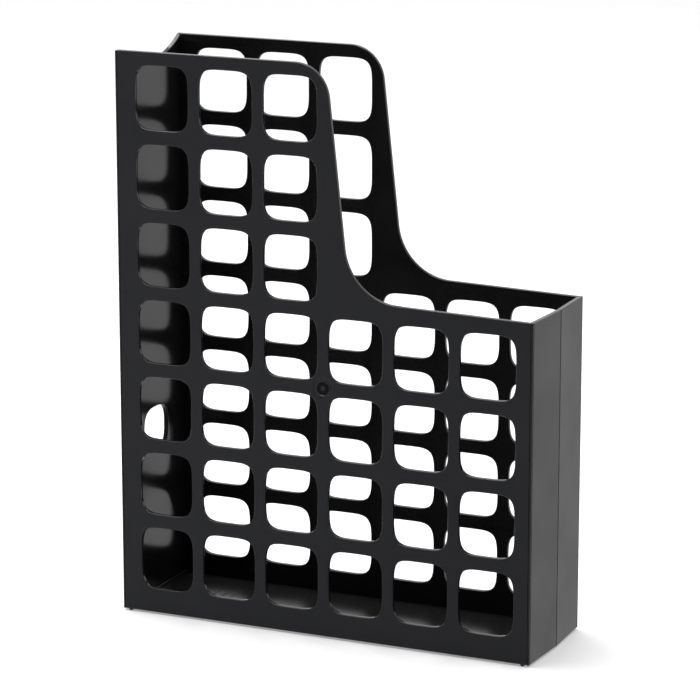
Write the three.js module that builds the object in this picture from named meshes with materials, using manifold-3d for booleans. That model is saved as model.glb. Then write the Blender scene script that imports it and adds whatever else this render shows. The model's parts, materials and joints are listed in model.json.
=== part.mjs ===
// Fold-flat magazine file holder, in millimetres, +Z up.
// X runs along the file: the tall spine is at -X and the low front end at +X.
// Y runs across it: the near side panel is at -Y and the far side panel at +Y.
// The origin is on the ground under the middle of the file.
// Every panel is a flat moulding, and neighbours meet along a round hinge bead.

import * as THREE from 'three';
import { mergeVertices } from 'three/addons/utils/BufferGeometryUtils.js';
import Module from 'manifold-3d';

// Overall size: the file narrows from its spine to its front corners, and the front end
// bulges a little past the SIDE_LENGTH that the side panels take up
const SIDE_LENGTH = 240;
const SPINE_WIDTH = 73;
const FRONT_WIDTH = 72;
const HEIGHT = 311;
const FOOT_HEIGHT = 1;
const WALL = 2.8;

// Hinge beads at the four upright corners, and the gaps that keep the pieces apart
const BEAD_RADIUS = 0.7;
const GAP = 0.3;
const PANEL_EDGE = BEAD_RADIUS + GAP;
const MITRE_EDGE = WALL - BEAD_RADIUS + GAP;

// Side panel outline: low at the front, with a rounded shoulder and a hollow curve between.
// The steep edge's two ends, and the columns and ledges below, are measured from the spine.
const LOW_EDGE_BACK = 187.2;
const LOW_EDGE_FRONT = 184.7;
const SLOPE_TOP = 123;
const SLOPE_FOOT = 136.7;
const SHOULDER_RADIUS = 20;
const HOLLOW_RADIUS = 31;

// Windows: full columns are as tall as the spine, low columns as tall as the front
const COLUMNS = 6;
const FULL_COLUMNS = 3;
const ROWS = 7;
const LOW_ROWS = 4;
const WINDOW_WIDTH = 31;
const WINDOW_HEIGHT = 35.2;
const COLUMN_PITCH = 37.5;
const ROW_PITCH = 42.4;
const FIRST_COLUMN = 27.5;
const TOP_ROW_Z = 286.8;
const WINDOW_POINTS = 24;
const SQUARENESS = 4;

// Spine: scooped top edge and a finger hole
const SCOOP_DEPTH = 10.5;
const FINGER_HOLE = 27;
const FINGER_HOLE_Z = 95.5;

// Front end: two halves that lean out a little and meet at a seam
const FRONT_LEAN = THREE.MathUtils.degToRad(2.3);
const SEAM_GAP = 0.5;

// Floor panel, its hinge bead, its pockets over the side panels' ledges, and its ribs
const FLOOR_THICKNESS = 1.8;
const FLOOR_CLEARANCE = 0.4;
const FLOOR_BEAD_RADIUS = 0.5;
const LEDGE_LENGTH = 12;
const LEDGE_REACH = 2;
const LEDGE_THICKNESS = 0.7;
const LEDGE_PLACES = [40, 120, 200];
const RIB_COUNT = 4;
const RIB_PITCH = 5.5;
const FIRST_RIB = 31;
const RIB_LENGTH = 14;
const RIB_WIDTH = 0.9;
const RIB_HEIGHT = 0.5;

// Feet and the round gate mark on each side panel
const FOOT_RADIUS = 1.2;
const FOOT_INSET = 4.2;
const GATE_RADIUS = 6.5;
const GATE_SLOPE_RADIUS = 4.5;
const GATE_DEPTH = 0.6;
const GATE_PIP_RADIUS = 1.3;
const GATE_PIP_SINK = 0.06;

// Sides of the round pieces, which are all slim
const BEAD_SIDES = 16;
const SMALL_SIDES = 12;
const SCOOP_STEPS = 24;

// Black plastic: satin outside faces, a glossier floor, and polished hinge lines
const PANEL_COLOUR = 0x2f2f30;
const FLOOR_COLOUR = 0x262627;
const HINGE_COLOUR = 0x29292a;
const SATIN = 0.45;
const GLOSSY = 0.3;

// Places that follow from the sizes above
const SPINE_HINGE_Y = SPINE_WIDTH / 2 - BEAD_RADIUS;
const FRONT_HINGE_Y = FRONT_WIDTH / 2 - BEAD_RADIUS;
const HINGE_LENGTH = SIDE_LENGTH - 2 * BEAD_RADIUS;
const TOE_IN = Math.atan2(SPINE_HINGE_Y - FRONT_HINGE_Y, HINGE_LENGTH);
const SIDE_SPAN = HINGE_LENGTH / Math.cos(TOE_IN);
const HALF_SPAN = FRONT_HINGE_Y / Math.cos(FRONT_LEAN) - SEAM_GAP / 2;
const BULGE = HALF_SPAN * Math.sin(FRONT_LEAN) - BEAD_RADIUS * (1 - Math.cos(FRONT_LEAN));
const BACK = -(SIDE_LENGTH + BULGE) / 2;
const FRONT = BACK + SIDE_LENGTH;
const BACK_HINGE_X = BACK + BEAD_RADIUS;
const FRONT_HINGE_X = FRONT - BEAD_RADIUS;
const OUTER_FACE = -BEAD_RADIUS;
const INNER_FACE = WALL - BEAD_RADIUS;
const FLOOR_TOP = FOOT_HEIGHT + FLOOR_THICKNESS;
const OVERSHOOT = 5;

const wasm = await Module();
wasm.setup();

// A closed three.js geometry as a manifold solid.
function toSolid(geometry) {
  const bare = geometry.clone();
  bare.deleteAttribute('normal');
  bare.deleteAttribute('uv');
  const merged = mergeVertices(bare, 1e-4);
  return new wasm.Manifold(new wasm.Mesh({
    numProp: 3,
    vertProperties: new Float32Array(merged.attributes.position.array),
    triVerts: new Uint32Array(merged.index.array),
  }));
}

// A manifold solid as a three.js geometry.
function toGeometry(solid) {
  const mesh = solid.getMesh();
  const geometry = new THREE.BufferGeometry();
  geometry.setAttribute('position', new THREE.BufferAttribute(mesh.vertProperties, 3));
  geometry.setIndex(new THREE.BufferAttribute(mesh.triVerts, 1));
  geometry.computeVertexNormals();
  return geometry;
}

function cut(solid, cutters) {
  return cutters.reduce((rest, cutter) => rest.subtract(cutter), solid);
}

function join(solid, additions) {
  return additions.reduce((whole, addition) => whole.add(addition), solid);
}

function shapeOf(points) {
  return new THREE.Shape(points.map(([a, b]) => new THREE.Vector2(a, b)));
}

// Points are [x, y]; the prism stands between two heights.
function prismAlongZ(points, bottom, top) {
  const geometry = new THREE.ExtrudeGeometry(shapeOf(points), {
    depth: top - bottom,
    bevelEnabled: false,
  });
  return toSolid(geometry.translate(0, 0, bottom));
}

// The shape is in x and z; the plate lies between two y planes.
function plateAlongY(shape, yLow, yHigh) {
  const geometry = new THREE.ExtrudeGeometry(shape, {
    depth: yHigh - yLow,
    bevelEnabled: false,
    curveSegments: 8,
  });
  return toSolid(geometry.rotateX(Math.PI / 2).translate(0, yHigh, 0));
}

// Points are [y, z]; the plug runs between two x planes.
function plugAlongX(points, xLow, xHigh) {
  const geometry = new THREE.ExtrudeGeometry(shapeOf(points), {
    depth: xHigh - xLow,
    bevelEnabled: false,
  });
  return toSolid(geometry.rotateX(Math.PI / 2).rotateZ(Math.PI / 2).translate(xLow, 0, 0));
}

function box(xLow, xHigh, yLow, yHigh, zLow, zHigh) {
  const geometry = new THREE.BoxGeometry(xHigh - xLow, yHigh - yLow, zHigh - zLow);
  return toSolid(geometry.translate((xLow + xHigh) / 2, (yLow + yHigh) / 2, (zLow + zHigh) / 2));
}

function uprightCylinder(radius, x, y, bottom, top, sides) {
  const geometry = new THREE.CylinderGeometry(radius, radius, top - bottom, sides);
  return toSolid(geometry.rotateX(Math.PI / 2).translate(x, y, (bottom + top) / 2));
}

// A square with round corners and slightly bowed sides: a superellipse about a centre.
function windowOutline(centreA, centreB, width, height) {
  const bend = (value) => Math.sign(value) * Math.abs(value) ** (2 / SQUARENESS);
  return Array.from({ length: WINDOW_POINTS }, (_, index) => {
    const angle = (2 * Math.PI * index) / WINDOW_POINTS;
    const a = centreA + (width / 2) * bend(Math.cos(angle));
    const b = centreB + (height / 2) * bend(Math.sin(angle));
    return [a, b];
  });
}

// A side panel is drawn about its own spine hinge axis, so its lengths along x start there.
function fromSpine(distance) {
  return distance - BEAD_RADIUS;
}

function columnX(column) {
  return fromSpine(FIRST_COLUMN + column * COLUMN_PITCH);
}

function rowZ(row) {
  return TOP_ROW_Z - row * ROW_PITCH;
}

function panelWindows() {
  const outlines = [];
  for (let column = 0; column < COLUMNS; column += 1) {
    const firstRow = column < FULL_COLUMNS ? 0 : ROWS - LOW_ROWS;
    for (let row = firstRow; row < ROWS; row += 1) {
      outlines.push(windowOutline(columnX(column), rowZ(row), WINDOW_WIDTH, WINDOW_HEIGHT));
    }
  }
  return outlines;
}

// Adds an arc of the given radius where the path turns at a corner between two points.
function roundCorner(shape, before, corner, after, radius) {
  const start = new THREE.Vector2(...corner);
  const toBefore = new THREE.Vector2(...before).sub(start).normalize();
  const toAfter = new THREE.Vector2(...after).sub(start).normalize();
  const halfAngle = Math.acos(toBefore.dot(toAfter)) / 2;
  const reach = radius / Math.sin(halfAngle);
  const centre = start.clone().addScaledVector(toBefore.clone().add(toAfter).normalize(), reach);
  const tangent = radius / Math.tan(halfAngle);
  const first = start.clone().addScaledVector(toBefore, tangent);
  const last = start.clone().addScaledVector(toAfter, tangent);
  const firstAngle = first.clone().sub(centre).angle();
  const lastAngle = last.clone().sub(centre).angle();
  const clockwise = toBefore.cross(toAfter) > 0;
  shape.lineTo(first.x, first.y);
  shape.absarc(centre.x, centre.y, radius, firstAngle, lastAngle, clockwise);
}

// The side panel's outline in x and z, with its windows.
function sideShape() {
  const backTop = [fromSpine(0), HEIGHT];
  const shoulder = [fromSpine(SLOPE_TOP), HEIGHT];
  const hollow = [fromSpine(SLOPE_FOOT), LOW_EDGE_BACK];
  const frontTop = [fromSpine(SIDE_LENGTH), LOW_EDGE_FRONT];
  const shape = new THREE.Shape();
  shape.moveTo(fromSpine(0), FOOT_HEIGHT);
  shape.lineTo(...backTop);
  roundCorner(shape, backTop, shoulder, hollow, SHOULDER_RADIUS);
  roundCorner(shape, shoulder, hollow, frontTop, HOLLOW_RADIUS);
  shape.lineTo(...frontTop);
  shape.lineTo(fromSpine(SIDE_LENGTH), FOOT_HEIGHT);
  shape.closePath();
  shape.holes = panelWindows().map((points) => shapeOf(points));
  return shape;
}

// Plan section of a panel between two hinge axes: s runs along it, w from its outer face inward.
// A hinged end stops short of the bead, and its inner half is mitred at 45 degrees.
function panelSection(span, farEndHinged = true) {
  const mitreStart = PANEL_EDGE - GAP + BEAD_RADIUS;
  const nearEnd = [[MITRE_EDGE, WALL], [PANEL_EDGE, mitreStart], [PANEL_EDGE, 0]];
  const hingedEnd = [[span - PANEL_EDGE, 0], [span - PANEL_EDGE, mitreStart], [span - MITRE_EDGE, WALL]];
  const plainEnd = [[span, 0], [span, WALL]];
  return [...nearEnd, ...(farEndHinged ? hingedEnd : plainEnd)];
}

// The gate mark: a shallow dish with a pip in the middle, sunk into the face at y = 0 from -Y.
function gateDish() {
  const profile = [[0, -GATE_DEPTH], [GATE_RADIUS, -GATE_DEPTH], [GATE_RADIUS, 0],
    [GATE_SLOPE_RADIUS, GATE_DEPTH / 2], [0, GATE_DEPTH]];
  const points = profile.map(([radius, depth]) => new THREE.Vector2(radius, depth));
  return toSolid(new THREE.LatheGeometry(points, WINDOW_POINTS));
}

function gatePip() {
  const geometry = new THREE.CylinderGeometry(GATE_PIP_RADIUS, GATE_PIP_RADIUS, GATE_DEPTH, SMALL_SIDES);
  return toSolid(geometry.translate(0, GATE_DEPTH - GATE_PIP_SINK, 0));
}

// A side panel at -Y (side = -1) or +Y (side = 1), with its feet, floor ledges and gate mark,
// drawn along +X from its spine hinge axis.
function sidePanel(side) {
  const section = panelSection(SIDE_SPAN).map(([s, w]) => [s, OUTER_FACE + w]);
  const slab = prismAlongZ(section, 0, HEIGHT + OVERSHOOT);
  const grille = plateAlongY(sideShape(), OUTER_FACE - OVERSHOOT, INNER_FACE + OVERSHOOT);
  const gateX = (columnX(FULL_COLUMNS - 1) + columnX(FULL_COLUMNS)) / 2;
  const gateZ = (rowZ(ROWS - LOW_ROWS) + rowZ(ROWS - LOW_ROWS + 1)) / 2;
  const dish = gateDish().translate([gateX, OUTER_FACE, gateZ]);
  const pip = gatePip().translate([gateX, OUTER_FACE, gateZ]);
  const midWall = OUTER_FACE + WALL / 2;
  const feet = [FOOT_INSET, SIDE_LENGTH - FOOT_INSET].map((place) => (
    uprightCylinder(FOOT_RADIUS, fromSpine(place), midWall, 0, 2 * FOOT_HEIGHT, SMALL_SIDES)));
  const ledges = LEDGE_PLACES.map((place) => box(
    fromSpine(place) - LEDGE_LENGTH / 2, fromSpine(place) + LEDGE_LENGTH / 2,
    midWall, INNER_FACE + LEDGE_REACH,
    FOOT_HEIGHT, FOOT_HEIGHT + LEDGE_THICKNESS));
  const panel = join(cut(slab.intersect(grille), [dish]), [pip, ...feet, ...ledges]);
  return toGeometry(side < 0 ? panel : panel.mirror([0, 1, 0]));
}

function arcScoop() {
  const radius = (SPINE_HINGE_Y ** 2 + SCOOP_DEPTH ** 2) / (2 * SCOOP_DEPTH);
  const centreZ = HEIGHT - SCOOP_DEPTH + radius;
  const halfWidth = SPINE_WIDTH / 2;
  const halfAngle = Math.asin(halfWidth / radius);
  const arc = Array.from({ length: SCOOP_STEPS + 1 }, (_, index) => {
    const angle = -halfAngle + (2 * halfAngle * index) / SCOOP_STEPS;
    return [radius * Math.sin(angle), centreZ - radius * Math.cos(angle)];
  });
  return [...arc, [halfWidth, HEIGHT + OVERSHOOT], [-halfWidth, HEIGHT + OVERSHOOT]];
}

function spinePanel() {
  const section = panelSection(2 * SPINE_HINGE_Y).map(([s, w]) => [BACK + w, s - SPINE_HINGE_Y]);
  const hole = windowOutline(0, FINGER_HOLE_Z, FINGER_HOLE, FINGER_HOLE);
  const cutters = [arcScoop(), hole].map((points) => (
    plugAlongX(points, BACK - OVERSHOOT, BACK + WALL + OVERSHOOT)));
  return toGeometry(cut(prismAlongZ(section, FOOT_HEIGHT, HEIGHT), cutters));
}

// One half of the front end, built about its own hinge axis at x = 0, y = 0.
function frontHalf(side) {
  const section = panelSection(HALF_SPAN, false).map(([s, w]) => [BEAD_RADIUS - w, -side * s]);
  return toGeometry(prismAlongZ(section, FOOT_HEIGHT, LOW_EDGE_FRONT));
}

// Half the clear width between the side panels' inner faces at x.
function innerHalfWidth(x) {
  return SPINE_WIDTH / 2 - WALL - (x - BACK) * Math.tan(TOE_IN);
}

function floorPanel() {
  const backX = BACK + WALL + FLOOR_CLEARANCE;
  const frontX = FRONT - WALL - FLOOR_CLEARANCE;
  const backY = innerHalfWidth(backX) - FLOOR_CLEARANCE;
  const frontY = innerHalfWidth(frontX) - FLOOR_CLEARANCE;
  const outline = [[backX, -backY], [frontX, -frontY], [frontX, frontY], [backX, backY]];
  const slab = prismAlongZ(outline, FOOT_HEIGHT, FLOOR_TOP);
  const pocketHalf = LEDGE_LENGTH / 2 + 2 * GAP;
  const pocketTop = FOOT_HEIGHT + LEDGE_THICKNESS + GAP;
  const pockets = LEDGE_PLACES.flatMap((place) => {
    const x = BACK + place;
    const pocketY = innerHalfWidth(x) - LEDGE_REACH - 2 * GAP;
    return [
      box(x - pocketHalf, x + pocketHalf, -SPINE_WIDTH / 2, -pocketY, 0, pocketTop),
      box(x - pocketHalf, x + pocketHalf, pocketY, SPINE_WIDTH / 2, 0, pocketTop),
    ];
  });
  const ribs = Array.from({ length: RIB_COUNT }, (_, index) => {
    const x = BACK + FIRST_RIB + index * RIB_PITCH;
    return box(x - RIB_WIDTH / 2, x + RIB_WIDTH / 2, -RIB_LENGTH / 2, RIB_LENGTH / 2,
      FLOOR_TOP - RIB_HEIGHT, FLOOR_TOP + RIB_HEIGHT);
  });
  return toGeometry(join(cut(slab, pockets), ribs));
}

// A hinge bead standing between two heights, on its own axis.
function uprightBead(top) {
  return toGeometry(uprightCylinder(BEAD_RADIUS, 0, 0, FOOT_HEIGHT, top, BEAD_SIDES));
}

function floorBead() {
  const length = 2 * (innerHalfWidth(BACK) - 2 * FLOOR_CLEARANCE);
  return new THREE.CylinderGeometry(FLOOR_BEAD_RADIUS, FLOOR_BEAD_RADIUS, length, SMALL_SIDES);
}

function plastic(colour, roughness) {
  return new THREE.MeshStandardMaterial({ color: colour, roughness, metalness: 0 });
}

function piece(name, geometry, colour, roughness, place = [0, 0, 0], turn = 0) {
  const mesh = new THREE.Mesh(geometry, plastic(colour, roughness));
  mesh.name = name;
  mesh.position.set(...place);
  mesh.rotation.z = turn;
  return mesh;
}

const holder = new THREE.Group();
const beadTop = HEIGHT - GAP;
const floorBeadPlace = [
  BACK + WALL + FLOOR_BEAD_RADIUS + GAP, 0, FLOOR_TOP + FLOOR_BEAD_RADIUS + GAP,
];

holder.add(piece('spine_panel', spinePanel(), PANEL_COLOUR, SATIN));
for (const [label, side] of [['near', -1], ['far', 1]]) {
  const backPlace = [BACK_HINGE_X, side * SPINE_HINGE_Y, 0];
  const frontPlace = [FRONT_HINGE_X, side * FRONT_HINGE_Y, 0];
  const toeIn = -side * TOE_IN;
  const lean = side * FRONT_LEAN;
  holder.add(piece(`${label}_side_panel`, sidePanel(side), PANEL_COLOUR, SATIN, backPlace, toeIn));
  holder.add(piece(`${label}_spine_hinge`, uprightBead(beadTop), HINGE_COLOUR, SATIN, backPlace));
  holder.add(piece(`${label}_front_hinge`, uprightBead(LOW_EDGE_FRONT), HINGE_COLOUR, SATIN, frontPlace));
  holder.add(piece(`${label}_front_half`, frontHalf(side), PANEL_COLOUR, SATIN, frontPlace, lean));
}
holder.add(piece('floor_panel', floorPanel(), FLOOR_COLOUR, GLOSSY));
holder.add(piece('floor_hinge', floorBead(), FLOOR_COLOUR, GLOSSY, floorBeadPlace));

export default holder;
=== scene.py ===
import json
import math

import bmesh
import bpy
from mathutils import Matrix, Vector


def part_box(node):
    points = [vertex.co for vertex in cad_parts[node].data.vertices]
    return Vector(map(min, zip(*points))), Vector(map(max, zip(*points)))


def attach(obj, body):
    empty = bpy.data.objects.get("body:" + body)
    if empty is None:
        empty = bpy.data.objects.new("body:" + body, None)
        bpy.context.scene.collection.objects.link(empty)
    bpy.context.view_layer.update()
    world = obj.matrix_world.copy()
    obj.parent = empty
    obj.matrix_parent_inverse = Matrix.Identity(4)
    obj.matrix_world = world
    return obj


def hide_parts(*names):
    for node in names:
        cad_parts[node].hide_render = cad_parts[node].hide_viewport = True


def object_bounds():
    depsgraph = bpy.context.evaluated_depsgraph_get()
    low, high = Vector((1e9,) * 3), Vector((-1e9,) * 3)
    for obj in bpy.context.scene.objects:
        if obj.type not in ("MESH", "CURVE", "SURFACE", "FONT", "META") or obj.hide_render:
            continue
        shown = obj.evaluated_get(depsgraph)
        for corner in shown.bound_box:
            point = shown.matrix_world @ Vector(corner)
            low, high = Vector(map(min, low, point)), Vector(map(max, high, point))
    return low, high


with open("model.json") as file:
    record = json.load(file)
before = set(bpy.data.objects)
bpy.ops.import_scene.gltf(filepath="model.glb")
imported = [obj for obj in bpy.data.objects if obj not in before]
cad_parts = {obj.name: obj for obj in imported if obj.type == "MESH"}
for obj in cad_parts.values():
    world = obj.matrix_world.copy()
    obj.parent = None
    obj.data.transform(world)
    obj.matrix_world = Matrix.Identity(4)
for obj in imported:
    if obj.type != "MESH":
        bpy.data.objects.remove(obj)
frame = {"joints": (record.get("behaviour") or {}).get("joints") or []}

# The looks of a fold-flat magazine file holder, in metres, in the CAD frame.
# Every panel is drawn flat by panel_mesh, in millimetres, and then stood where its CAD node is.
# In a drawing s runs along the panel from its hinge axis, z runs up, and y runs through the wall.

cad_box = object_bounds()

MM = 0.001

# Sizes that the CAD model's boxes and joints give, in millimetres
JOINTS = {joint["name"]: Vector(joint["pos_m"]) / MM for joint in frame["joints"]}
SPINE_LOW, SPINE_HIGH = [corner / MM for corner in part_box("spine_panel")]
PANEL_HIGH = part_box("near_side_panel")[1] / MM
HALF_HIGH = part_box("near_front_half")[1] / MM
FLOOR_LOW, FLOOR_HIGH = [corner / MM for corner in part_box("floor_panel")]
BEAD_LOW, BEAD_HIGH = [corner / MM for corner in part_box("near_spine_hinge")]
FLOOR_BEAD_LOW, FLOOR_BEAD_HIGH = [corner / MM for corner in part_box("floor_hinge")]
SPINE_AXIS = JOINTS["far_side_fold"]
FRONT_AXIS = JOINTS["far_front_fold"]
WALL = SPINE_HIGH.x - SPINE_LOW.x
BEAD_RADIUS = (BEAD_HIGH.x - BEAD_LOW.x) / 2
BOTTOM = SPINE_LOW.z
HEIGHT = PANEL_HIGH.z
LOW_EDGE_FRONT = HALF_HIGH.z
SIDE_LENGTH = FRONT_AXIS.x + BEAD_RADIUS - SPINE_LOW.x
SIDE_SPAN = (FRONT_AXIS - SPINE_AXIS).xy.length
TOE_IN = math.atan2(SPINE_AXIS.y - FRONT_AXIS.y, FRONT_AXIS.x - SPINE_AXIS.x)
SEAM_Y = -HALF_HIGH.y
FRONT_BULGE = HALF_HIGH.x - FRONT_AXIS.x - BEAD_RADIUS
FRONT_LEAN = math.atan2(FRONT_BULGE, FRONT_AXIS.y - SEAM_Y)
HALF_SPAN = (FRONT_AXIS.y - SEAM_Y) / math.cos(FRONT_LEAN)

# Ends of the panels: the gap beside a hinge bead, the mitre behind it and a small chamfer
HINGE_GAP = 0.03
PANEL_EDGE = BEAD_RADIUS + HINGE_GAP
MITRE_DEPTH = 2 * BEAD_RADIUS
END_CHAMFER = 0.05
PAST_END = 6

# Side panel outline: the low edge's height where the slope meets it, the slope's ends measured
# from the spine's outer face, and the radii of its two corners
LOW_EDGE_BACK = 187.2
SLOPE_TOP = 123
SLOPE_FOOT = 136.7
SHOULDER_RADIUS = 20
HOLLOW_RADIUS = 31
CORNER_STEPS = 14

# Windows
COLUMNS = 6
FULL_COLUMNS = 3
ROWS = 7
LOW_ROWS = 4
WINDOW_WIDTH = 31.2
WINDOW_HEIGHT = 34.7
COLUMN_PITCH = 37.5
ROW_PITCH = 42.4
FIRST_COLUMN = 27.5
TOP_ROW_Z = 286.5
SQUARENESS = 4.6
WINDOW_POINTS = 56

# Spine: a scooped top edge and a finger hole
SCOOP_DEPTH = 10.5
SCOOP_STEPS = 40
FINGER_HOLE_WIDTH = 27
FINGER_HOLE_HEIGHT = 25.4
FINGER_HOLE_Z = 94.8
FINGER_HOLE_SQUARENESS = 3

# Rounded lips round every panel edge, and the share of a lip's depth that has the satin skin
LIP = 0.65
FRONT_LIP = 0.5
SPINE_LIP = 0.7
LIP_STEPS = 3
SKIN_SHARE = 0.6
FRONT_SKIN_SHARE = 0.9

# How squarely a face looks outwards to take the skin, and along an axis to count as flat
SKIN_FACING = 0.2
FLAT_FACING = 0.97

# Faces that meet at a sharper angle than this, in degrees, are shaded as a corner
SMOOTH_ANGLE = 35

# Gate mark: a shallow dish with a raised ring and a centre pip
GATE_RADIUS = 6.5
GATE_DEPTH = 0.55
GATE_RING = 4.3
GATE_RING_WIDTH = 0.9
GATE_RING_HEIGHT = 0.35
GATE_RING_SLOPE = 0.3
GATE_PIP = 1.3
GATE_PIP_TOP = 0.91
GATE_RIM = 0.5
GATE_CLEAR = 0.02
GATE_TOOL_REACH = 2
GATE_SIDES = 64

# Feet and floor ledges
FOOT_RADIUS = 1.2
FOOT_CHAMFER = 0.3
FOOT_INSET = 4.2
FOOT_SIDES = 20
LEDGE_LENGTH = 12
LEDGE_REACH = 2
LEDGE_THICKNESS = 0.7
LEDGE_CHAMFER = 0.15
LEDGE_LIFT = 0.01
LEDGE_PLACES = (40, 120, 200)

# Floor
FLOOR_THICKNESS = 1.8
FLOOR_CLEARANCE = 0.4
FLOOR_LIP = 0.35
POCKET_GAP = 0.3
POCKET_CHAMFER = 0.1
RIB_COUNT = 4
RIB_PITCH = 5.5
FIRST_RIB = 31
RIB_LENGTH = 14
RIB_WIDTH = 0.9
RIB_HEIGHT = 0.45
RIB_CHAMFER = 0.2

# Hinge beads
BEAD_SOFT_END = 0.2
BEAD_SIDES = 32

# Camera: angles in degrees, distances in metres, lens and sensor in millimetres
CAMERA_AZIMUTH = 24.53
CAMERA_ELEVATION = 13.45
CAMERA_DISTANCE = 1.792
CAMERA_LENS = 171.8
CAMERA_SENSOR = 36
AIM_BELOW_CENTRE = 0.0042

# Grain of the plastics: noise scales in features per metre, the noise values between which a
# patch and a speck come in, and the bump's depth in metres
PATCH_SCALE = 28
PATCH_LOW = 0.3
PATCH_HIGH = 0.7
WAVE_SCALE = 60
SPECK_SCALE = 1500
SPECK_LOW = 0.62
SPECK_HIGH = 0.74
WAVE_SHARE = 0.6
WEAR_SHARE = 0.35
# How far the rounded lips are lightened: edge wear and a painted highlight along them
EDGE_WEAR_AND_HIGHLIGHT = 0.5
SPECK_ROUGHNESS = 0.06
EDGE_POLISH = 0.45
BUMP_DEPTH = 0.0001

# Studio: the floor's half size in metres, its white and glow, and how light falls off towards -Y
STUDIO_HALF_SIZE = 4
STUDIO_WHITE_LOW = 0.88
STUDIO_WHITE_HIGH = 0.9
STUDIO_MOTTLE_SCALE = 3
STUDIO_GLOW = 0.25
DIM_SIDE_START = -0.8
DIM_SIDE_END = 0.3
DIM_SIDE_LIGHT = 0.06


# ---- Drawing helpers ----

def superellipse(centre_s, centre_z, width, height, squareness):
    """A closed outline between an ellipse and a rectangle; more squareness, tighter corners."""
    def bend(value):
        return math.copysign(abs(value) ** (2 / squareness), value)
    points = []
    for index in range(WINDOW_POINTS):
        angle = 2 * math.pi * (index + 0.5) / WINDOW_POINTS
        points.append((centre_s + width / 2 * bend(math.cos(angle)),
                       centre_z + height / 2 * bend(math.sin(angle))))
    return points


def rounded_corner(before, corner, after, radius):
    """Points on the arc that rounds the corner between two straight lines."""
    corner = Vector(corner)
    to_before = (Vector(before) - corner).normalized()
    to_after = (Vector(after) - corner).normalized()
    half = to_before.angle(to_after) / 2
    centre = corner + (to_before + to_after).normalized() * radius / math.sin(half)
    first = corner + to_before * radius / math.tan(half) - centre
    last = corner + to_after * radius / math.tan(half) - centre
    turn = first.angle_signed(last)
    points = []
    for index in range(CORNER_STEPS + 1):
        spoke = first.copy()
        spoke.rotate(Matrix.Rotation(-turn * index / CORNER_STEPS, 2))
        points.append(tuple(centre + spoke))
    return points


def column_s(column):
    return FIRST_COLUMN - BEAD_RADIUS + column * COLUMN_PITCH


def row_z(row):
    return TOP_ROW_Z - row * ROW_PITCH


def panel_windows():
    windows = []
    for column in range(COLUMNS):
        first_row = 0 if column < FULL_COLUMNS else ROWS - LOW_ROWS
        for row in range(first_row, ROWS):
            centre_s, centre_z = column_s(column), row_z(row)
            windows.append(superellipse(centre_s, centre_z, WINDOW_WIDTH, WINDOW_HEIGHT, SQUARENESS))
    return windows


def side_outline():
    """The side panel's outline, run past both upright ends, where it is trimmed later."""
    start = -BEAD_RADIUS
    top_back = (start - PAST_END, HEIGHT)
    shoulder = (start + SLOPE_TOP, HEIGHT)
    hollow = (start + SLOPE_FOOT, LOW_EDGE_BACK)
    fall = (LOW_EDGE_BACK - LOW_EDGE_FRONT) / (SIDE_LENGTH - SLOPE_FOOT)
    front_top = (start + SIDE_LENGTH + PAST_END, LOW_EDGE_FRONT - fall * PAST_END)
    points = [(start - PAST_END, BOTTOM), top_back]
    points += rounded_corner(top_back, shoulder, hollow, SHOULDER_RADIUS)
    points += rounded_corner(shoulder, hollow, front_top, HOLLOW_RADIUS)
    points += [front_top, (start + SIDE_LENGTH + PAST_END, BOTTOM)]
    return points


def spine_outline():
    """The spine's outline with its scooped top edge, run past both upright ends."""
    half = SPINE_AXIS.y
    radius = (half ** 2 + SCOOP_DEPTH ** 2) / (2 * SCOOP_DEPTH)
    centre_z = HEIGHT - SCOOP_DEPTH + radius
    reach = math.asin((half + PAST_END) / radius)
    points = [(-half - PAST_END, BOTTOM)]
    for index in range(SCOOP_STEPS + 1):
        angle = -reach + 2 * reach * index / SCOOP_STEPS
        points.append((radius * math.sin(angle), centre_z - radius * math.cos(angle)))
    return points + [(half + PAST_END, BOTTOM)]


# ---- Mesh helpers ----

def object_from(mesh, name):
    piece = bpy.data.objects.new(name, mesh)
    bpy.context.scene.collection.objects.link(piece)
    return piece


def applied_mesh(piece):
    """The piece's mesh with its modifiers applied; the piece itself is removed."""
    graph = bpy.context.evaluated_depsgraph_get()
    mesh = bpy.data.meshes.new_from_object(piece.evaluated_get(graph), depsgraph=graph)
    bpy.data.objects.remove(piece)
    return mesh


def panel_mesh(name, outlines, thickness, lip, outer_y):
    """A flat panel with rounded lips round its outline and holes, its outer face at y = outer_y."""
    curve = bpy.data.curves.new(name, "CURVE")
    curve.dimensions = "2D"
    curve.fill_mode = "BOTH"
    curve.bevel_depth = lip
    curve.bevel_resolution = LIP_STEPS
    curve.extrude = thickness / 2 - lip
    curve.offset = -lip
    for points in outlines:
        spline = curve.splines.new("POLY")
        spline.points.add(len(points) - 1)
        for target, (s, z) in zip(spline.points, points):
            target.co = (s, z, 0, 1)
        spline.use_cyclic_u = True
    mesh = applied_mesh(object_from(curve, name))
    upright = Matrix.Rotation(math.pi / 2, 4, "X")
    mesh.transform(Matrix.Translation((0, outer_y + thickness / 2, 0)) @ upright)
    model = bmesh.new()
    model.from_mesh(mesh)
    bmesh.ops.remove_doubles(model, verts=model.verts, dist=1e-4)
    bmesh.ops.recalc_face_normals(model, faces=model.faces)
    model.to_mesh(mesh)
    model.free()
    return mesh


def cut_off(mesh, point, direction):
    """Cuts away what lies beyond a plane, on the side that direction points to, and caps the cut."""
    model = bmesh.new()
    model.from_mesh(mesh)
    result = bmesh.ops.bisect_plane(
        model, geom=model.verts[:] + model.edges[:] + model.faces[:],
        plane_co=point, plane_no=direction, clear_outer=True)
    edges = [item for item in result["geom_cut"] if isinstance(item, bmesh.types.BMEdge)]
    bmesh.ops.holes_fill(model, edges=edges, sides=0)
    bmesh.ops.recalc_face_normals(model, faces=model.faces)
    model.to_mesh(mesh)
    model.free()


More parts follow.
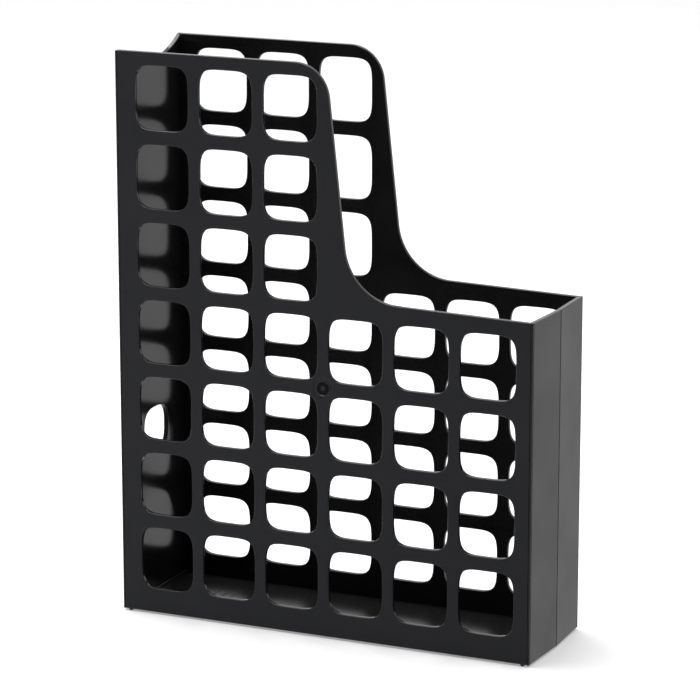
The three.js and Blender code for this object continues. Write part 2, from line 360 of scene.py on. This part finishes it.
def trim_hinged_end(mesh, axis_s, outward, outer_y):
    """Ends a panel beside the hinge axis at axis_s: square, mitred inside and chamfered outside."""
    end_s = axis_s - outward * PANEL_EDGE
    inner_y = outer_y + WALL
    cut_off(mesh, (end_s, 0, 0), (outward, 0, 0))
    cut_off(mesh, (end_s, outer_y + MITRE_DEPTH, 0), (outward, 1, 0))
    cut_off(mesh, (end_s, outer_y + END_CHAMFER, 0), (outward, -1, 0))
    mitre_s = end_s - outward * (WALL - MITRE_DEPTH)
    cut_off(mesh, (mitre_s - outward * END_CHAMFER, inner_y, 0), (outward, 2, 0))


def smooth_by_angle(mesh):
    for polygon in mesh.polygons:
        polygon.use_smooth = True
    mesh.set_sharp_from_angle(angle=math.radians(SMOOTH_ANGLE))


def keep_flats_flat(piece):
    modifier = piece.modifiers.new("flat faces", "WEIGHTED_NORMAL")
    modifier.keep_sharp = True
    modifier.weight = 100


def joined(meshes, name):
    model = bmesh.new()
    for mesh in meshes:
        model.from_mesh(mesh)
    whole = bpy.data.meshes.new(name)
    model.to_mesh(whole)
    model.free()
    return whole


def block(low, high, chamfer):
    """A box with small rounded edges."""
    model = bmesh.new()
    low, high = Vector(low), Vector(high)
    size = high - low
    bmesh.ops.create_cube(model, size=1)
    bmesh.ops.scale(model, vec=size, verts=model.verts)
    bmesh.ops.translate(model, vec=(low + high) / 2, verts=model.verts)
    bmesh.ops.bevel(model, geom=model.edges[:], offset=chamfer, segments=2, affect="EDGES", profile=0.5)
    mesh = bpy.data.meshes.new("block")
    model.to_mesh(mesh)
    model.free()
    return mesh


def lathe(profile, sides, axis="Z"):
    """A closed solid of revolution; profile is (radius, height) from the axis to the axis."""
    model = bmesh.new()
    rings = []
    for radius, height in profile:
        if radius == 0:
            rings.append([model.verts.new((0, 0, height))])
            continue
        ring = []
        for index in range(sides):
            angle = 2 * math.pi * index / sides
            ring.append(model.verts.new((radius * math.cos(angle), radius * math.sin(angle), height)))
        rings.append(ring)
    for lower, upper in zip(rings, rings[1:]):
        for index in range(sides):
            follow = (index + 1) % sides
            corners = [lower[index % len(lower)], lower[follow % len(lower)],
                       upper[follow % len(upper)], upper[index % len(upper)]]
            unique = list(dict.fromkeys(corners))
            if len(unique) > 2:
                model.faces.new(unique)
    bmesh.ops.recalc_face_normals(model, faces=model.faces)
    mesh = bpy.data.meshes.new("lathe")
    model.to_mesh(mesh)
    model.free()
    if axis == "Y":
        mesh.transform(Matrix.Rotation(-math.pi / 2, 4, "X"))
    return mesh


def combined(mesh, tool_mesh, operation):
    """One boolean of a mesh with a tool mesh, applied."""
    target = object_from(mesh, "target")
    tool = object_from(tool_mesh, "tool")
    modifier = target.modifiers.new("combine", "BOOLEAN")
    modifier.operation = operation
    modifier.object = tool
    modifier.solver = "EXACT"
    result = applied_mesh(target)
    bpy.data.objects.remove(tool)
    return result


def stood(mesh, place, turn):
    """Turns a drawing in plan, moves it to its place and scales it to metres."""
    mesh.transform(Matrix.Scale(MM, 4) @ Matrix.Translation(place) @ Matrix.Rotation(turn, 4, "Z"))
    return mesh


def mirrored(mesh):
    """A copy mirrored through the middle plane of the file."""
    copy = mesh.copy()
    copy.transform(Matrix.Scale(-1, 4, (0, 1, 0)))
    copy.flip_normals()
    return copy


# ---- Materials ----

def new_material(name):
    material = bpy.data.materials.new(name)
    material.use_nodes = True
    nodes = material.node_tree.nodes
    nodes.clear()
    output = nodes.new("ShaderNodeOutputMaterial")
    shader = nodes.new("ShaderNodeBsdfPrincipled")
    material.node_tree.links.new(shader.outputs["BSDF"], output.inputs["Surface"])
    return material, shader


def noise(material, scale, detail):
    """Noise in object coordinates; scale is in features per metre."""
    nodes, links = material.node_tree.nodes, material.node_tree.links
    coordinates = nodes.new("ShaderNodeTexCoord")
    texture = nodes.new("ShaderNodeTexNoise")
    texture.inputs["Scale"].default_value = scale
    texture.inputs["Detail"].default_value = detail
    links.new(coordinates.outputs["Object"], texture.inputs["Vector"])
    return texture.outputs["Fac"]


def remap(material, value, low, high, out_low, out_high):
    node = material.node_tree.nodes.new("ShaderNodeMapRange")
    node.inputs["From Min"].default_value = low
    node.inputs["From Max"].default_value = high
    node.inputs["To Min"].default_value = out_low
    node.inputs["To Max"].default_value = out_high
    material.node_tree.links.new(value, node.inputs["Value"])
    return node.outputs["Result"]


def maths(material, operation, first, second):
    node = material.node_tree.nodes.new("ShaderNodeMath")
    node.operation = operation
    for socket, value in zip(node.inputs, (first, second)):
        if isinstance(value, (int, float)):
            socket.default_value = value
        else:
            material.node_tree.links.new(value, socket)
    return node.outputs["Value"]


def colour_between(material, factor, first, second):
    node = material.node_tree.nodes.new("ShaderNodeMix")
    node.data_type = "RGBA"
    node.inputs["A"].default_value = (*first, 1)
    node.inputs["B"].default_value = (*second, 1)
    material.node_tree.links.new(factor, node.inputs["Factor"])
    return node.outputs["Result"]


def bump(material, shader, height, strength, distance):
    node = material.node_tree.nodes.new("ShaderNodeBump")
    node.inputs["Strength"].default_value = strength
    node.inputs["Distance"].default_value = distance
    material.node_tree.links.new(height, node.inputs["Height"])
    material.node_tree.links.new(node.outputs["Normal"], shader.inputs["Normal"])


def edge_attribute(material):
    node = material.node_tree.nodes.new("ShaderNodeAttribute")
    node.attribute_name = "edge"
    return node.outputs["Fac"]


def black_plastic(name, colour, worn_and_highlit, roughness, spread, grain, grain_scale, ior):
    """Moulded black plastic: fine grain, patchy gloss, and edges polished by handling and lightened, as
    wear and a painted highlight.
    """
    material, shader = new_material(name)
    links = material.node_tree.links
    patches = noise(material, PATCH_SCALE, 4)
    specks = remap(material, noise(material, SPECK_SCALE, 2), SPECK_LOW, SPECK_HIGH, 0, 1)
    edge = edge_attribute(material)
    tone = maths(material, "MULTIPLY", maths(material, "ADD", specks, patches), WEAR_SHARE)
    # The lips are mixed towards the lighter colour: edge wear and a painted highlight along them
    tone = maths(material, "ADD", tone, maths(material, "MULTIPLY", edge, EDGE_WEAR_AND_HIGHLIGHT))
    links.new(colour_between(material, tone, colour, worn_and_highlit), shader.inputs["Base Color"])
    gloss = remap(material, patches, PATCH_LOW, PATCH_HIGH, roughness - spread, roughness + spread)
    gloss = maths(material, "ADD", gloss, maths(material, "MULTIPLY", specks, SPECK_ROUGHNESS))
    gloss = maths(material, "MULTIPLY", gloss, remap(material, edge, 0, 1, 1, EDGE_POLISH))
    links.new(gloss, shader.inputs["Roughness"])
    shader.inputs["IOR"].default_value = ior
    fine = noise(material, grain_scale, 3)
    waves = maths(material, "MULTIPLY", noise(material, WAVE_SCALE, 2), WAVE_SHARE)
    bump(material, shader, maths(material, "ADD", fine, waves), grain, BUMP_DEPTH)
    return material


satin_plastic = black_plastic(
    "satin_plastic", colour=(0.0178, 0.0182, 0.0209), worn_and_highlit=(0.0262, 0.0266, 0.0295),
    roughness=0.46, spread=0.04, grain=0.35, grain_scale=1900, ior=1.42)
front_plastic = black_plastic(
    "front_plastic", colour=(0.0115, 0.0117, 0.0132), worn_and_highlit=(0.018, 0.0183, 0.02),
    roughness=0.39, spread=0.04, grain=0.35, grain_scale=1900, ior=1.41)
smooth_plastic = black_plastic(
    "smooth_plastic", colour=(0.0062, 0.0063, 0.0068), worn_and_highlit=(0.0095, 0.0096, 0.0105),
    roughness=0.16, spread=0.03, grain=0.04, grain_scale=700, ior=1.4)
# The floor's plastic is a lighter copy of the smooth inner plastic: the lift is painted light, for the
# bright windows that the floor reflects
floor_plastic = black_plastic(
    "floor_plastic", colour=(0.0135, 0.0133, 0.013), worn_and_highlit=(0.019, 0.0187, 0.0183),
    roughness=0.2, spread=0.04, grain=0.05, grain_scale=700, ior=1.5)
hinge_plastic = black_plastic(
    "hinge_plastic", colour=(0.014, 0.0143, 0.0163), worn_and_highlit=(0.022, 0.0224, 0.0245),
    roughness=0.4, spread=0.05, grain=0.2, grain_scale=1200, ior=1.42)


# ---- Finishing a piece ----

def mark_edges(mesh, flat_axes):
    """Stores 0 on faces that look along one of the axes and 1 on the rest, for edge wear, polish and a
    painted highlight.
    """
    attribute = mesh.attributes.new("edge", "FLOAT", "FACE")
    for polygon, value in zip(mesh.polygons, attribute.data):
        flatness = max(abs(polygon.normal.dot(axis)) for axis in flat_axes)
        value.value = 1.0 if flatness < FLAT_FACING else 0.0


def dress(mesh, outward, skin_depth, satin):
    """The satin on the face that looks outward and just round its lips, smooth plastic on the rest."""
    mesh.materials.clear()
    mesh.materials.append(satin)
    mesh.materials.append(smooth_plastic)
    outward = Vector(outward)
    surface = max(vertex.co.dot(outward) for vertex in mesh.vertices)
    for polygon in mesh.polygons:
        depth = surface - polygon.center.dot(outward)
        facing = polygon.normal.dot(outward)
        polygon.material_index = 0 if depth < skin_depth and facing > SKIN_FACING else 1
    mark_edges(mesh, [outward])


def show(mesh, name, node, body):
    smooth_by_angle(mesh)
    piece = object_from(mesh, name)
    keep_flats_flat(piece)
    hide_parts(node)
    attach(piece, body)


# ---- Side panels ----

def gate_cutter():
    """The dish with its ring and pip left standing, cut into the outer face from outside."""
    ring_in, ring_out = GATE_RING - GATE_RING_WIDTH / 2, GATE_RING + GATE_RING_WIDTH / 2
    crest = GATE_DEPTH - GATE_RING_HEIGHT
    profile = [
        (0, crest), (GATE_PIP_TOP, crest), (GATE_PIP, GATE_DEPTH),
        (ring_in - GATE_RING_SLOPE, GATE_DEPTH), (ring_in, crest),
        (ring_out, crest), (ring_out + GATE_RING_SLOPE, GATE_DEPTH * 0.8),
        (GATE_RADIUS - GATE_RIM, GATE_DEPTH * 0.4), (GATE_RADIUS, -GATE_CLEAR),
        (GATE_RADIUS, -GATE_TOOL_REACH), (0, -GATE_TOOL_REACH),
    ]
    return lathe(profile, GATE_SIDES, axis="Y")


def side_panel_additions(outer_y):
    middle_y = outer_y + WALL / 2
    inner_y = outer_y + WALL
    meshes = []
    for place in (FOOT_INSET, SIDE_LENGTH - FOOT_INSET):
        foot = lathe([(0, 0), (FOOT_RADIUS - FOOT_CHAMFER, 0), (FOOT_RADIUS, FOOT_CHAMFER),
                      (FOOT_RADIUS, 2 * BOTTOM), (0, 2 * BOTTOM)], FOOT_SIDES)
        foot.transform(Matrix.Translation((place - BEAD_RADIUS, middle_y, 0)))
        meshes.append(foot)
    for place in LEDGE_PLACES:
        start = place - BEAD_RADIUS - LEDGE_LENGTH / 2
        low = (start, middle_y, BOTTOM + LEDGE_LIFT)
        high = (start + LEDGE_LENGTH, inner_y + LEDGE_REACH, BOTTOM + LEDGE_THICKNESS)
        meshes.append(block(low, high, LEDGE_CHAMFER))
    return joined(meshes, "additions")


def side_panel():
    """The near side panel, drawn about its spine hinge axis."""
    outer_y = -BEAD_RADIUS
    mesh = panel_mesh("side", [side_outline()] + panel_windows(), WALL, LIP, outer_y)
    trim_hinged_end(mesh, 0, -1, outer_y)
    trim_hinged_end(mesh, SIDE_SPAN, 1, outer_y)
    gate = gate_cutter()
    gate_s = (column_s(FULL_COLUMNS - 1) + column_s(FULL_COLUMNS)) / 2
    gate_z = (row_z(ROWS - LOW_ROWS) + row_z(ROWS - LOW_ROWS + 1)) / 2
    gate.transform(Matrix.Translation((gate_s, outer_y, gate_z)))
    mesh = combined(mesh, gate, "DIFFERENCE")
    mesh = combined(mesh, side_panel_additions(outer_y), "UNION")
    return stood(mesh, (SPINE_AXIS.x, -SPINE_AXIS.y, 0), TOE_IN)


def add_side_panels():
    near = side_panel()
    far = mirrored(near)
    for mesh, label, side in ((near, "near", -1), (far, "far", 1)):
        outward = (math.sin(TOE_IN), side * math.cos(TOE_IN), 0)
        dress(mesh, outward, LIP * MM * SKIN_SHARE, satin_plastic)
        show(mesh, f"{label}_side_shell", f"{label}_side_panel", f"{label}_side")


# ---- Spine ----

def add_spine():
    outer_y = -BEAD_RADIUS
    hole = superellipse(0, FINGER_HOLE_Z, FINGER_HOLE_WIDTH, FINGER_HOLE_HEIGHT, FINGER_HOLE_SQUARENESS)
    mesh = panel_mesh("spine", [spine_outline(), hole], WALL, SPINE_LIP, outer_y)
    for side in (-1, 1):
        trim_hinged_end(mesh, side * SPINE_AXIS.y, side, outer_y)
    stood(mesh, (SPINE_AXIS.x, 0, 0), -math.pi / 2)
    dress(mesh, (-1, 0, 0), SPINE_LIP * MM * SKIN_SHARE, satin_plastic)
    show(mesh, "spine_shell", "spine_panel", "spine")


# ---- Front end ----

def front_half():
    """The near half of the front end, drawn from its hinge axis to the seam."""
    outer_y = -BEAD_RADIUS
    outline = [(-PAST_END, BOTTOM), (-PAST_END, LOW_EDGE_FRONT),
               (HALF_SPAN, LOW_EDGE_FRONT), (HALF_SPAN, BOTTOM)]
    mesh = panel_mesh("front", [outline], WALL, FRONT_LIP, outer_y)
    trim_hinged_end(mesh, 0, -1, outer_y)
    return stood(mesh, (FRONT_AXIS.x, -FRONT_AXIS.y, 0), math.pi / 2 - FRONT_LEAN)


def add_front_halves():
    near = front_half()
    far = mirrored(near)
    for mesh, label, side in ((near, "near", -1), (far, "far", 1)):
        outward = (math.cos(FRONT_LEAN), side * math.sin(FRONT_LEAN), 0)
        dress(mesh, outward, FRONT_LIP * MM * FRONT_SKIN_SHARE, front_plastic)
        show(mesh, f"{label}_front_shell", f"{label}_front_half", f"{label}_front")


# ---- Floor ----

def half_width(x):
    """Half the clear width between the side panels at x."""
    return SPINE_AXIS.y + BEAD_RADIUS - WALL - (x - SPINE_LOW.x) * math.tan(TOE_IN)


def floor_slab():
    back_y = half_width(FLOOR_LOW.x) - FLOOR_CLEARANCE
    front_y = half_width(FLOOR_HIGH.x) - FLOOR_CLEARANCE
    corners = [(FLOOR_LOW.x, -back_y), (FLOOR_HIGH.x, -front_y),
               (FLOOR_HIGH.x, front_y), (FLOOR_LOW.x, back_y)]
    model = bmesh.new()
    base = model.faces.new([model.verts.new((x, y, BOTTOM)) for x, y in corners])
    top = bmesh.ops.extrude_face_region(model, geom=[base])
    raised = [item for item in top["geom"] if isinstance(item, bmesh.types.BMVert)]
    bmesh.ops.translate(model, vec=(0, 0, FLOOR_THICKNESS), verts=raised)
    bmesh.ops.recalc_face_normals(model, faces=model.faces)
    bmesh.ops.bevel(model, geom=model.edges[:], offset=FLOOR_LIP, segments=3, affect="EDGES", profile=0.5)
    mesh = bpy.data.meshes.new("floor")
    model.to_mesh(mesh)
    model.free()
    return mesh


def floor_pockets():
    pockets = []
    half = LEDGE_LENGTH / 2 + 2 * POCKET_GAP
    top = BOTTOM + LEDGE_THICKNESS + POCKET_GAP
    for place in LEDGE_PLACES:
        x = SPINE_LOW.x + place
        inner = half_width(x) - LEDGE_REACH - 2 * POCKET_GAP
        for side in (-1, 1):
            ends = sorted((side * inner, side * (inner + 2 * LEDGE_REACH)))
            pockets.append(block((x - half, ends[0], 0), (x + half, ends[1], top), POCKET_CHAMFER))
    return joined(pockets, "pockets")


def floor_ribs():
    ribs = []
    top = BOTTOM + FLOOR_THICKNESS
    for index in range(RIB_COUNT):
        x = SPINE_LOW.x + FIRST_RIB + index * RIB_PITCH
        ribs.append(block((x - RIB_WIDTH / 2, -RIB_LENGTH / 2, top - RIB_HEIGHT),
                          (x + RIB_WIDTH / 2, RIB_LENGTH / 2, top + RIB_HEIGHT), RIB_CHAMFER))
    return joined(ribs, "ribs")


def add_floor():
    mesh = combined(floor_slab(), floor_pockets(), "DIFFERENCE")
    mesh = combined(mesh, floor_ribs(), "UNION")
    stood(mesh, (0, 0, 0), 0)
    mesh.materials.clear()
    mesh.materials.append(floor_plastic)
    mark_edges(mesh, [Vector((0, 0, 1))])
    show(mesh, "floor_plate", "floor_panel", "floor")


# ---- Hinge beads ----

def bead(radius, length):
    """A round bead with softened ends, standing on z = 0."""
    soft = BEAD_SOFT_END
    profile = [(0, 0), (radius - soft, 0), (radius, soft),
               (radius, length - soft), (radius - soft, length), (0, length)]
    return lathe(profile, BEAD_SIDES)


def add_bead(mesh, name, body):
    mesh.materials.append(hinge_plastic)
    mark_edges(mesh, [Vector((0, 0, 1))])
    show(mesh, f"{name}_bead", name, body)


def add_beads():
    for label in ("near", "far"):
        for end, body in (("spine", "spine"), ("front", f"{label}_side")):
            name = f"{label}_{end}_hinge"
            low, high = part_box(name)
            mesh = bead(BEAD_RADIUS, (high.z - low.z) / MM)
            stood(mesh, Vector(((low.x + high.x) / 2, (low.y + high.y) / 2, low.z)) / MM, 0)
            add_bead(mesh, name, body)
    radius = (FLOOR_BEAD_HIGH.x - FLOOR_BEAD_LOW.x) / 2
    mesh = bead(radius, FLOOR_BEAD_HIGH.y - FLOOR_BEAD_LOW.y)
    mesh.transform(Matrix.Rotation(-math.pi / 2, 4, "X"))
    middle = (FLOOR_BEAD_LOW + FLOOR_BEAD_HIGH) / 2
    stood(mesh, (middle.x, FLOOR_BEAD_LOW.y, middle.z), 0)
    add_bead(mesh, "floor_hinge", "spine")


# ---- Studio ----

def add_studio_floor():
    """A white floor with a little glow, left out of what glossy plastic reflects."""
    material, shader = new_material("studio_white")
    mottle = noise(material, STUDIO_MOTTLE_SCALE, 2)
    tone = remap(material, mottle, PATCH_LOW, PATCH_HIGH, STUDIO_WHITE_LOW, STUDIO_WHITE_HIGH)
    shade = material.node_tree.nodes.new("ShaderNodeCombineColor")
    for channel in shade.inputs[:3]:
        material.node_tree.links.new(tone, channel)
    material.node_tree.links.new(shade.outputs["Color"], shader.inputs["Base Color"])
    shader.inputs["Roughness"].default_value = 0.7
    shader.inputs["IOR"].default_value = 1.3
    shader.inputs["Emission Color"].default_value = (1, 1, 1, 1)
    shader.inputs["Emission Strength"].default_value = STUDIO_GLOW
    model = bmesh.new()
    bmesh.ops.create_grid(model, x_segments=8, y_segments=8, size=STUDIO_HALF_SIZE)
    mesh = bpy.data.meshes.new("studio_floor")
    model.to_mesh(mesh)
    model.free()
    mesh.materials.append(material)
    floor = object_from(mesh, "studio_floor")
    floor.visible_glossy = False


def add_world():
    """A white studio whose -Y side, where the photographer stands, lights the object dimly."""
    world = bpy.data.worlds.new("studio")
    bpy.context.scene.world = world
    world.use_nodes = True
    nodes, links = world.node_tree.nodes, world.node_tree.links
    direction = nodes.new("ShaderNodeTexCoord")
    parts = nodes.new("ShaderNodeSeparateXYZ")
    links.new(direction.outputs["Generated"], parts.inputs["Vector"])
    ramp = nodes.new("ShaderNodeMapRange")
    ramp.interpolation_type = "SMOOTHSTEP"
    ramp.inputs["From Min"].default_value = DIM_SIDE_START
    ramp.inputs["From Max"].default_value = DIM_SIDE_END
    ramp.inputs["To Min"].default_value = DIM_SIDE_LIGHT
    ramp.inputs["To Max"].default_value = 1
    links.new(parts.outputs["Y"], ramp.inputs["Value"])
    rays = nodes.new("ShaderNodeLightPath")
    brighter = nodes.new("ShaderNodeMath")
    brighter.operation = "MAXIMUM"
    links.new(ramp.outputs["Result"], brighter.inputs[0])
    links.new(rays.outputs["Is Camera Ray"], brighter.inputs[1])
    background = nodes["Background"]
    background.inputs["Color"].default_value = (1, 1, 1, 1)
    links.new(brighter.outputs["Value"], background.inputs["Strength"])


def add_area_light(name, place, aim, size, power):
    light = bpy.data.lights.new(name, "AREA")
    light.shape = "RECTANGLE"
    light.size, light.size_y = size
    light.energy = power
    lamp = object_from(light, name)
    lamp.location = place
    lamp.rotation_mode = "QUATERNION"
    lamp.rotation_quaternion = (Vector(aim) - Vector(place)).to_track_quat("-Z", "Y")
    return lamp


def add_lights():
    """A big softbox overhead, and a card low on the left that only lifts the near panel's own colour."""
    add_area_light("overhead", place=(-0.5, 0.1, 1.8), aim=(0, 0, 0.1), size=(1.8, 1.6), power=36)
    card = add_area_light("reflector_card", place=(-0.45, -0.5, 0.05), aim=(-0.1, 0, 0.05),
                          size=(0.4, 0.12), power=1.2)
    card.visible_glossy = False


def add_camera():
    """The camera; azimuth turns from the -Y side towards +X."""
    low, high = cad_box
    aim = (low + high) / 2 - Vector((0, 0, AIM_BELOW_CENTRE))
    azimuth, elevation = math.radians(CAMERA_AZIMUTH), math.radians(CAMERA_ELEVATION)
    back = Vector((math.sin(azimuth) * math.cos(elevation),
                   -math.cos(azimuth) * math.cos(elevation), math.sin(elevation)))
    camera = object_from(bpy.data.cameras.new("camera"), "camera")
    camera.data.lens = CAMERA_LENS
    camera.data.sensor_width = CAMERA_SENSOR
    camera.location = aim + back * CAMERA_DISTANCE
    camera.rotation_mode = "QUATERNION"
    camera.rotation_quaternion = (-back).to_track_quat("-Z", "Y")
    bpy.context.scene.camera = camera


add_side_panels()
add_spine()
add_front_halves()
add_floor()
add_beads()
add_studio_floor()
add_world()
add_lights()
add_camera()
bpy.context.scene.view_settings.view_transform = "Standard"
